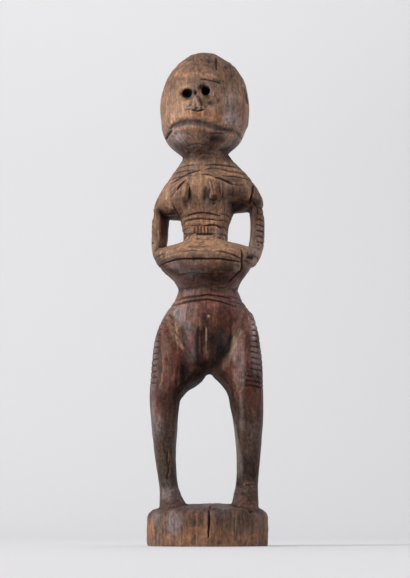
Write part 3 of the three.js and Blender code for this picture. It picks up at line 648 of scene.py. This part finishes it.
class Seen:
    """A mesh's points as a view shows them."""

    def __init__(self, view, co):
        self.view = view
        self.place = view.shown(co)

    def spot(self, x, y):
        """The point of the solid there, in the view's own terms, or None beside it."""
        hit = self.view.cast(x, y)
        return None if hit is None else self.view.shown(np.array([hit]) / MM)[0]

    def spots_along(self, line):
        """Close-set points of the solid along a line of the view."""
        spots = []
        for (x0, y0), (x1, y1) in zip(line, line[1:]):
            pieces = max(1, round(math.hypot(x1 - x0, y1 - y0) * self.view.unit / LINE_STEP_MM))
            for t in np.linspace(0, 1, pieces + 1):
                spots.append(self.spot(x0 + (x1 - x0) * t, y0 + (y1 - y0) * t))
        return np.array([spot for spot in spots if spot is not None])

    def close_to(self, spots, reach, behind):
        """The points that lie round some spots and not far in front of them or behind."""
        low = spots.min(0) - (reach, reach, behind)
        high = spots.max(0) + (reach, reach, behind)
        return np.flatnonzero(np.all((self.place > low) & (self.place < high), axis=1))

    def along(self, line, width_mm, behind=6.5):
        """The points beside a line, and 1 on the line falling to 0 at half its width."""
        spots = self.spots_along(line)
        if not len(spots):
            return NOWHERE
        half = width_mm / 2 / self.view.unit
        where = self.close_to(spots, half, behind)
        offset = self.place[where, None, :] - spots[None]
        gaps = np.hypot(offset[..., 0], offset[..., 1])
        closest = gaps.argmin(axis=1)
        rows = np.arange(len(where))
        level = np.abs(offset[rows, closest, 2]) < behind
        from_end = np.minimum(closest, len(spots) - 1 - closest) / max(1, LINE_FADE * len(spots))
        half = half * np.clip(LINE_END + (1 - LINE_END) * from_end, 0, 1)
        return where, np.clip(1 - gaps[rows, closest] / half, 0, 1) * level

    def round_spot(self, x, y, half_width, half_height, behind=4.0):
        """The points round a spot, and how far out in the ellipse they lie: 0 in its middle."""
        spot = self.spot(x, y)
        if spot is None:
            return NOWHERE
        where = self.close_to(spot[None], 2 * max(half_width, half_height), behind)
        offset = self.place[where] - spot
        return where, np.hypot(offset[:, 0] / half_width, offset[:, 1] / half_height)


# The form: rounded, with its crisp cuts kept and its larger wear

def run_together(count, seen):
    """How far the junctions are worn to a soft run at each point."""
    run = np.zeros(count)
    for x, y, *size, amount in SOFT_SPOTS:
        where, out = seen.round_spot(x, y, *size, behind=30)
        run[where] = np.maximum(run[where], amount * (1 - smoothstep(0.5, 1, out)))
    return run


def kept(co, outward, seen):
    """How much of the solid's own crisp form stays at each point."""
    turn = np.degrees(np.arctan2(outward[:, 0], -outward[:, 1]))
    keep = 1 - smoothstep(0, FLAT_BELOW_MM, co[:, 2])
    for low, high, facing, most in KEPT_STRIPS:
        strip = smoothstep(low - 1, low + 1, co[:, 2]) * (1 - smoothstep(high - 1, high + 1, co[:, 2]))
        strip *= most * (1 - smoothstep(STRIP_DEGREES - 10, STRIP_DEGREES, np.abs(turn - facing)))
        strip *= smoothstep(STRIP_FROM_MM - 2, STRIP_FROM_MM + 1, np.abs(co[:, 0]))
        keep = np.maximum(keep, strip)
    for x, y, *size, amount in KEPT_SPOTS:
        where, out = seen.round_spot(x, y, *size, behind=9)
        keep[where] = np.maximum(keep[where], amount * (1 - smoothstep(0.75, 1, out)))
    return keep


def base_flats(co, outward):
    """How far in mm the round of the base is cut back from a true circle."""
    edges = np.radians(BASE_EDGES)
    turn = np.arctan2(co[:, 0], -co[:, 1]) + 0.02 * noise(co, (9, 9, 9), 43)
    cell = np.clip(np.searchsorted(edges, turn) - 1, 0, len(edges) - 2)
    half = (edges[cell + 1] - edges[cell]) / 2
    flat = np.cos(half) / np.cos(np.clip(turn - edges[cell] - half, -half, half))
    sideways = 1 - smoothstep(0.5, 0.9, np.abs(outward[:, 2]))
    low = 1 - smoothstep(BASE_TOP_MM - 2, BASE_TOP_MM + 1, co[:, 2])
    return BASE_RADIUS_MM * (1 - flat) * sideways * low


def fork_peak(co, outward):
    """How far in mm the fork of the legs is cut up to a point."""
    across, up, half_width, half_height, depth = FORK_PEAK
    out = np.hypot((co[:, 0] - across) / half_width, (co[:, 2] - up) / half_height)
    return depth * (1 - smoothstep(0, 1, out)) * smoothstep(0, 0.5, -outward[:, 2])


def weathering(co):
    """1 on the dry base, less on the crown, 0 on the handled body."""
    low = 1 - smoothstep(*DRY_BASE_MM, co[:, 2])
    return np.maximum(low, CROWN_DRYNESS * smoothstep(*DRY_CROWN_MM, co[:, 2]))


# The carving

def scooped(co, normal, index, depth, radii, lowered):
    """Lowers the points round one of them to a shallow hollow, as a knife leaves it."""
    reach = KNIFE_REACH_MM * (1 + depth)
    where = np.flatnonzero(np.all((co > co[index] - reach) & (co < co[index] + reach), axis=1))
    facing = normal[where] @ normal[index]
    offset = co[where] - co[index]
    level = offset[:, 0] ** 2 + offset[:, 1] ** 2
    above = offset @ normal[index] - lowered[where] * facing + depth
    above -= level / (2 * radii[0]) + offset[:, 2] ** 2 / (2 * radii[1])
    out = np.sqrt(level + offset[:, 2] ** 2) / reach
    above = np.minimum(above, depth * np.minimum(1.4, 3 * (1 - out)))
    lowered[where] += np.clip(above, 0, None) * smoothstep(0.6, 0.85, facing)


def knife_work(co, normal, bulge, seen):
    """How far in mm the knife's hollows lie below the surface. They are where it bulges."""
    lowered = np.zeros(len(co))
    rng = np.random.default_rng(KNIFE_SEED)
    for index in rng.choice(np.flatnonzero(bulge > KNIFE_BULGE_MM), KNIFE_CUTS, replace=False):
        scooped(co, normal, index, rng.uniform(*KNIFE_DEPTH_MM), KNIFE_RADII_MM, lowered)
    for x, y, depth in FLATS:
        spot = seen.spot(x, y)
        index = np.linalg.norm((seen.place - spot) * (PHOTO.unit, PHOTO.unit, 1), axis=1).argmin()
        scooped(co, normal, index, depth, FLAT_RADII_MM, lowered)
    return lowered


def level_height(co):
    """Heights along the body's level lines, which rise a little to the front."""
    return co[:, 2] + FRONT_RISE * smoothstep(*RISE_BETWEEN_MM, co[:, 2]) * co[:, 1]


def ring_cuts(co):
    """How deep in mm the grooves round the body are."""
    height = level_height(co) + 0.35 * noise(co, (9, 9, 20), 41)
    across = co[:, 0] / BELLY_HALF_WIDTH_MM
    ahead = (BELLY_MIDDLE_Y_MM - co[:, 1]) / BELLY_HALF_DEPTH_MM
    front = np.clip(ahead / np.maximum(np.hypot(across, ahead), 1e-6), 0, 1)
    uneven = 1 + 0.5 * noise(co, (7, 7, 7), 42)
    cut = np.zeros(len(co))
    for name, (levels, width, depth, reach, fade) in RING_GROOVES.items():
        drop = BELLY_DROP_MM * np.sqrt(front) if name == "belly" else 0
        for level in levels:
            amount = np.clip(1 - np.abs(height + drop - level) / (width / 2), 0, 1)
            amount *= (np.abs(co[:, 0]) < reach) * (1 - fade * smoothstep(0.35, 0.75, front))
            cut = np.maximum(cut, depth * uneven * amount)
    return cut


def line_cuts(co, seen):
    """How deep in mm the cuts along lines are."""
    cuts = [(seen, width, depth, line) for width, depth, line, *_ in CUT_LINES]
    for left, middle, right, slope, y in TICKS:
        line = [(left, y - slope), (middle, y), (right, y + slope * 2.2)]
        cuts.append((seen, *TICK_SIZE_MM, line))
    for degrees, width, depth, line in SIDE_CUTS:
        cuts.append((Seen(Side(degrees), co), width, depth, line))
    cut = np.zeros(len(co))
    for view, width, depth, line in cuts:
        where, amount = view.along(line, width)
        cut[where] = np.maximum(cut[where], depth * amount ** CUT_DEEPENS)
    return cut


def ridges(count, seen):
    """How high in mm the ridges, beads and lumps stand."""
    raised = np.zeros(count)
    beads = [(*BEAD_SIZE_MM, [(x, y) for y in BEADS_UP]) for x in np.linspace(*BEADS_ACROSS, BEAD_COUNT)]
    for width, height, line, *_ in RIDGE_LINES + beads:
        where, amount = seen.along(line, width)
        raised[where] = np.maximum(raised[where], height * smoothstep(0, 1, amount))
    for x, y, *size_mm, depth in LUMPS:
        where, out = seen.round_spot(x, y, *(half / PHOTO.unit for half in size_mm))
        raised[where] += depth * smoothstep(0, 1, np.clip(1 - out, 0, 1))
    return raised


def grain(co):
    """The height in mm of the raised grain, strongest where the wood is dry."""
    long = 0.09 * noise(co, (1.4, 1.4, 16), 3) + 0.09 * noise(co, (2.8, 2.8, 30), 4)
    short = 0.05 * noise(co, (1.6, 1.6, 2.4), 5) + 0.1 * noise(co, (3.4, 3.4, 4.4), 6)
    return (long + short) * (0.8 + 1.4 * weathering(co))


def wander(co):
    """How far in mm the whole surface strays."""
    strayed = np.stack([noise(co, (14, 14, 14), seed) for seed in (11, 12, 13)], axis=1)
    strayed[:, 2] += 0.8 * noise(co, (6, 6, 9), 14)
    return WANDER_MM * strayed


def carve(mesh):
    """Rounds the solid's facets away and adds the fine carving. Returns the new positions."""
    mean = neighbour_mean(mesh)
    rough = positions(mesh)
    soft = smoothed(rough, mean, SMOOTHING_PASSES)
    softer = smoothed(soft, mean, SOFT_PASSES)
    outward = normals(mesh, softer)
    seen = Seen(PHOTO, soft)
    soft += run_together(len(soft), seen)[:, None] * (softer - soft)
    shape = soft + kept(rough, outward, seen)[:, None] * (smoothed(rough, mean, 1) - soft)
    shape[:, 2] -= CROWN_WORN * np.clip(shape[:, 2] - CROWN_FROM_MM, 0, None)
    shape -= base_flats(rough, outward)[:, None] * outward * (1, 1, 0)
    shape[:, 2] += fork_peak(shape, outward)

    seen = Seen(PHOTO, shape)
    bulge = np.sum((soft - softer) * outward, axis=1)
    cut = np.maximum(ring_cuts(shape), line_cuts(shape, seen))
    height = ridges(len(shape), seen) + grain(shape) - knife_work(shape, outward, bulge, seen) - cut
    above_floor = smoothstep(0, FLAT_BELOW_MM, rough[:, 2])
    return shape + above_floor[:, None] * (height[:, None] * outward + wander(shape))


def kept_in_box(co):
    """The points held inside the solid's box, with the underside flat."""
    low, high = (np.array(corner) / MM for corner in cad_bounds)
    co = np.clip(co, low, high)
    co[np.abs(co[:, 2]) < ON_FLOOR_MM, 2] = 0
    return co


# The patina, with its painted shade and highlights, as values on the vertices

def paint(name):
    """A colour of the palette as linear light."""
    c = np.asarray(PALETTE[name]) / 255
    return np.where(c <= 0.04045, c / 12.92, ((c + 0.055) / 1.055) ** 2.4)


def tinted(colour, name, amount):
    """The colours drawn towards one of the palette."""
    return colour + amount[:, None] * (paint(name) - colour)


def banded(heights, bands):
    """Values that change with height. Each band is a height in mm and the value there."""
    levels = [level for level, _ in bands]
    values = np.array([value for _, value in bands], float).reshape(len(bands), -1)
    return np.stack([np.interp(heights, levels, column) for column in values.T], axis=1)


def fork_painted_shade(co, outward):
    """The painted shade on the inner sides of the legs and in their fork, where they face inwards or down.
    """
    low, high = FORK_MM
    inside = smoothstep(0.1, 0.7, -outward[:, 2] - outward[:, 0] * np.sign(co[:, 0]))
    inside *= smoothstep(low, low + 20, co[:, 2]) * (1 - smoothstep(high - 4, high + 4, co[:, 2]))
    return FORK_SHADE * inside


def coloured_lines():
    """Width, colour, strength and way of the lines of painted shade and highlights, then of the cuts'
    paint.
    """
    yield from SHADE_AND_HIGHLIGHT_LINES
    for _, _, line, *dirt_and_painted_light in CUT_LINES + RIDGE_LINES:
        for width, name, strength in dirt_and_painted_light:
            yield width, name, strength, line


def patina_and_painted_light(co, outward):
    """The wood's colour at each vertex, with its painted shade and highlights, before grain, the darkening
    of hollows and cuts, and wear.
    """
    shifted = co[:, 2] + 5 * noise(co, (12, 12, 18), 21) - COLOUR_DROP * co[:, 1]
    colour = banded(shifted, [(height, paint(name)) for height, name in COLOUR_BANDS])
    for seed, name in PATCHES:
        patch = smoothstep(0.25, 0.75, noise(co, (9, 9, 22), seed))
        colour = tinted(colour, name, PATCH_STRENGTH * patch)
    # Painted shade on the inner sides of the legs and in their fork
    colour = tinted(colour, "soot", fork_painted_shade(co, outward))
    ragged = 0.3 * noise(co, (2.2, 2.2, 5), 27) + 0.25 * noise(co, (5, 5, 9), 28)
    facing = smoothstep(0, 0.3, -outward @ np.array(FORWARD))
    seen = Seen(PHOTO, co)
    # Stains and wear, with the painted shade and highlights among them
    for x, y, *size, name, strength in STAINS_AND_PAINTED_LIGHT:
        where, out = seen.round_spot(x, y, *size, behind=12)
        amount = strength * facing[where] * (1 - smoothstep(0.4, 1.4, out + ragged[where]))
        colour[where] = tinted(colour[where], name, amount)
    # Lines of painted shade and highlights, then the dirt, painted shade and highlights along the cuts and
    # ridges
    for width, name, strength, line in coloured_lines():
        where, amount = seen.along(line, width * PHOTO.unit)
        amount = strength * facing[where] * smoothstep(0, 0.7, amount)
        colour[where] = tinted(colour[where], name, amount)
    return colour


def add_values(mesh, name, values):
    mesh.attributes.new(name, "FLOAT", "POINT").data.foreach_set("value", values.astype(np.float32))


def add_colour(mesh, name, colour):
    opaque = np.concatenate([colour, np.ones((len(colour), 1))], axis=1).astype(np.float32)
    mesh.attributes.new(name, "FLOAT_COLOR", "POINT").data.foreach_set("color", opaque.ravel())


def add_surface_values(mesh):
    """What the material needs at each vertex: hollows, wear, polish, dryness, colour and shine."""
    co = positions(mesh)
    mean = neighbour_mean(mesh)
    calm = smoothed(normals(mesh, co), mean, CALM_PASSES)
    fine_relief = np.sum((co - smoothed(co, mean, FINE_PASSES)) * calm, axis=1)
    broad_relief = np.sum((co - smoothed(co, mean, BROAD_PASSES)) * calm, axis=1)
    add_values(mesh, "cavity", smoothed(smoothstep(*CAVITY_MM, -broad_relief), mean, 1))
    add_values(mesh, "crevice", smoothstep(*CREVICE_MM, -fine_relief))
    add_values(mesh, "wear", smoothstep(*WEAR_MM, fine_relief))
    add_values(mesh, "polish", banded(co[:, 2] + 6 * noise(co, (8, 8, 14), 31), POLISH_BANDS)[:, 0])
    add_values(mesh, "dryness", weathering(co))
    colour = patina_and_painted_light(co, calm)
    # The patina with its painted shade and highlights
    add_colour(mesh, "patina_and_painted_light", colour)
    paleness = smoothstep(*PALENESS, smoothed(colour.mean(axis=1), mean, CALM_PASSES))
    add_values(mesh, "shine", LEAST_SHINE + ADDED_SHINE * paleness)


def figure_piece(node):
    piece = fine_copy(node, "carved_figure")
    set_positions(piece.data, kept_in_box(carve(piece.data)))
    triangles = sum(len(p.vertices) - 2 for p in piece.data.polygons)
    if triangles > MOST_TRIANGLES:
        fewer = piece.modifiers.new("fewer", "DECIMATE")
        fewer.ratio = MOST_TRIANGLES / triangles
        with_modifiers_applied(piece)
    add_surface_values(piece.data)
    piece.data.shade_smooth()
    return piece


# The wood's material

class Nodes:
    """Short ways to add nodes to a material."""

    def __init__(self, material):
        material.use_nodes = True
        self.tree = material.node_tree
        self.shader = self.tree.nodes["Principled BSDF"]

    def feed(self, node, inputs):
        """Links the inputs whose values are sockets, and sets the others."""
        for key, value in inputs.items():
            if isinstance(value, bpy.types.NodeSocket):
                self.tree.links.new(value, node.inputs[key])
            else:
                node.inputs[key].default_value = value

    def add(self, kind, inputs=None, **settings):
        node = self.tree.nodes.new(kind)
        for key, value in settings.items():
            setattr(node, key, value)
        self.feed(node, inputs or {})
        return node

    def attribute(self, name, output="Fac"):
        return self.add("ShaderNodeAttribute", attribute_name=name).outputs[output]

    def noise(self, place, along, scale, detail, roughness):
        """Noise that runs along Z: along is how fast it changes that way, against across."""
        mapped = self.add("ShaderNodeMapping", {"Vector": place, "Scale": (1, 1, along)}).outputs[0]
        inputs = {"Vector": mapped, "Scale": scale, "Detail": detail, "Roughness": roughness}
        return self.add("ShaderNodeTexNoise", inputs).outputs["Fac"]

    def spread(self, value, low, high, to_low=0.0, to_high=1.0):
        inputs = {"Value": value, "From Min": low, "From Max": high, "To Min": to_low, "To Max": to_high}
        return self.add("ShaderNodeMapRange", inputs, clamp=True).outputs[0]

    def math(self, operation, a, b):
        return self.add("ShaderNodeMath", {0: a, 1: b}, operation=operation).outputs[0]

    def mix(self, share, a, b, blend="MIX"):
        inputs = {0: share, 6: a, 7: b}
        return self.add("ShaderNodeMix", inputs, data_type="RGBA", blend_type=blend).outputs[2]


def rgba(name, gain=1.0):
    return (*(paint(name) * gain), 1)


def pores(n, noises):
    """How dark the small pores are at each place."""
    return n.spread(noises["pores"], 0.62, 0.72, 0.0, 0.5)


def wood_colour(n, noises):
    """Grain over the patina, painted shade in the hollows, dirt and painted shade in the cuts, rubbed
    ridges and dark pores.
    """
    grain_shade = 1.0
    for name, share in GRAIN_SHADES.items():
        shade = n.spread(noises[name], *NOISE_RANGE, 1 - share, 1 + share)
        grain_shade = n.math("MULTIPLY", grain_shade, shade)
    grey = n.add("ShaderNodeCombineColor", {k: grain_shade for k in range(3)}).outputs[0]
    colour = n.mix(1.0, n.attribute("patina_and_painted_light", "Color"), grey, "MULTIPLY")
    colour = n.mix(n.spread(noises["cloud"], 0.5, 0.72, 0.0, 0.3), colour, rgba("russet"))
    dry = n.spread(n.attribute("polish"), 0, 1, 0.35, 0.08)
    dust = n.math("MULTIPLY", n.spread(noises["mottle"], 0.55, 0.75), dry)
    colour = n.mix(dust, colour, rgba("ash"))
    rub = n.math("MULTIPLY", n.attribute("wear"), n.spread(noises["bands"], 0.3, 0.7, 0.25, 0.75))
    colour = n.mix(rub, colour, n.mix(1.0, colour, RUBBED_PALER, "MULTIPLY"))
    # Painted shade in the broad hollows
    colour = n.mix(n.spread(n.attribute("cavity"), 0, 1, 0.0, 0.55), colour, rgba("soot", 0.9))
    # Dirt and painted shade in the fine cuts
    colour = n.mix(n.spread(n.attribute("crevice"), 0, 1, 0.0, 0.7), colour, rgba("soot", 1.2))
    return n.mix(pores(n, noises), colour, rgba("soot"))


def wood_roughness(n, noises):
    """Dull where it is dry, in hollows or dark, and half shiny where it is polished."""
    rough = n.spread(n.attribute("polish"), 0, 1, DRY_ROUGHNESS, POLISHED_ROUGHNESS)
    rough = n.math("ADD", rough, n.spread(noises["mottle"], 0.3, 0.7, -0.1, 0.1))
    rough = n.math("ADD", rough, n.spread(n.attribute("cavity"), 0, 1, 0, 0.2))
    return n.math("ADD", rough, n.spread(n.attribute("shine"), LEAST_SHINE, 0.25, 0.25, 0))


def wood_bump(n, noises):
    """Grain and pores in relief, most where the wood is dry."""
    relief = n.math("MULTIPLY", noises["streaks"], 0.55)
    relief = n.math("ADD", relief, n.math("MULTIPLY", noises["mottle"], 0.6))
    relief = n.math("SUBTRACT", relief, n.math("MULTIPLY", pores(n, noises), 0.5))
    strength = n.spread(n.attribute("dryness"), 0, 1, 0.45, 0.9)
    inputs = {"Height": relief, "Strength": strength, "Distance": BUMP_MM * MM}
    return n.add("ShaderNodeBump", inputs).outputs[0]


def wood():
    """Old wood, with its grain along Z."""
    material = bpy.data.materials.new("old_wood")
    n = Nodes(material)
    place = n.add("ShaderNodeTexCoord").outputs["Object"]
    noises = {name: n.noise(place, *settings) for name, settings in WOOD_NOISES.items()}
    uneven = n.spread(noises["mottle"], *NOISE_RANGE, 0.75, 1.25)
    n.feed(n.shader, {
        "Base Color": wood_colour(n, noises),
        "Roughness": wood_roughness(n, noises),
        "Specular IOR Level": n.math("MULTIPLY", n.attribute("shine"), uneven),
        "Sheen Weight": 0.04,
        "Sheen Roughness": 0.5,
        "Normal": wood_bump(n, noises),
    })
    return material


# Floor, light and camera

def sweep():
    """A pale floor that curves up into a backdrop."""
    half, near_edge, bend_at, radius, top, steps = 2.4, -1.6, 1.0, 0.8, 2.6, 16
    turn = [math.pi / 2 * k / steps for k in range(steps + 1)]
    bend = [(bend_at + radius * math.sin(a), radius * (1 - math.cos(a))) for a in turn]
    profile = [(near_edge, 0.0), *bend, (bend_at + radius, top)]
    points = [(x, y, z) for y, z in profile for x in (-half, half)]
    faces = [(2 * k, 2 * k + 1, 2 * k + 3, 2 * k + 2) for k in range(len(profile) - 1)]
    mesh = bpy.data.meshes.new("sweep")
    mesh.from_pydata(points, [], faces)
    mesh.shade_smooth()
    mesh.materials.append(paper())
    floor = placed("sweep", mesh)


def paper():
    material = bpy.data.materials.new("pale_paper")
    n = Nodes(material)
    n.feed(n.shader, {"Base Color": PAPER_COLOUR, "Roughness": PAPER_ROUGHNESS})
    return material


def softbox(name, place, target, size, watts, colour):
    light = bpy.data.lights.new(name, "AREA")
    light.shape = "RECTANGLE"
    light.size, light.size_y = size
    light.energy = watts
    light.color = colour
    box = placed(name, light)
    box.location = place
    box.rotation_euler = (Vector(target) - Vector(place)).to_track_quat("-Z", "Y").to_euler()


def studio():
    sweep()
    world = bpy.data.worlds.new("studio")
    world.use_nodes = True
    sky = world.node_tree.nodes["Background"].inputs
    sky["Color"].default_value = SKY_COLOUR
    sky["Strength"].default_value = SKY_STRENGTH
    bpy.context.scene.world = world
    for name, settings in SOFTBOXES.items():
        softbox(name, *settings)
    bpy.context.scene.view_settings.view_transform = "Standard"


def camera():
    data = bpy.data.cameras.new("camera")
    data.sensor_width = SENSOR_MM
    data.lens = FOCAL_PIXELS * SENSOR_MM / FRAME_HEIGHT
    data.clip_start = 0.01
    holder = placed("camera", data)
    holder.location = CAMERA_AT
    holder.rotation_euler = (math.pi / 2 + CAMERA_TILT, 0, 0)
    bpy.context.scene.camera = holder


camera()
studio()
figure = figure_piece(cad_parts["figure"])
figure.data.materials.append(wood())
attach(figure, "root")
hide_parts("figure")

bpy.context.view_layer.update()
